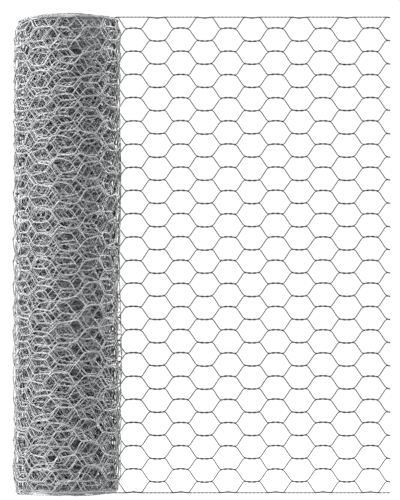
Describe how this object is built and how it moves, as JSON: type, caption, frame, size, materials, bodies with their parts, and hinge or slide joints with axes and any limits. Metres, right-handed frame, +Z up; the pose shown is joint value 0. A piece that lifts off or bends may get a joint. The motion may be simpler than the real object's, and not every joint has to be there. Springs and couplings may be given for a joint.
{
  "type": "roll of hexagonal wire netting",
  "caption": "Standing roll of galvanised hexagonal wire netting (chicken wire) wound round an open core, with its loose end drawn out flat to one side.",
  "frame": {"origin": "on the roll's axis, at the lower end that it stands on", "axes": "+Z up along the roll's axis, +X along the loose end towards its cut edge, +Y towards the side of the roll that the loose end leaves from"},
  "size_m": [0.3939, 0.116, 0.5],
  "materials": {
    "galvanised_wire": "hot-dip galvanised steel wire, dull zinc grey"
  },
  "bodies": {
    "root": {"wire_netting": "galvanised_wire"}
  },
  "joints": []
}
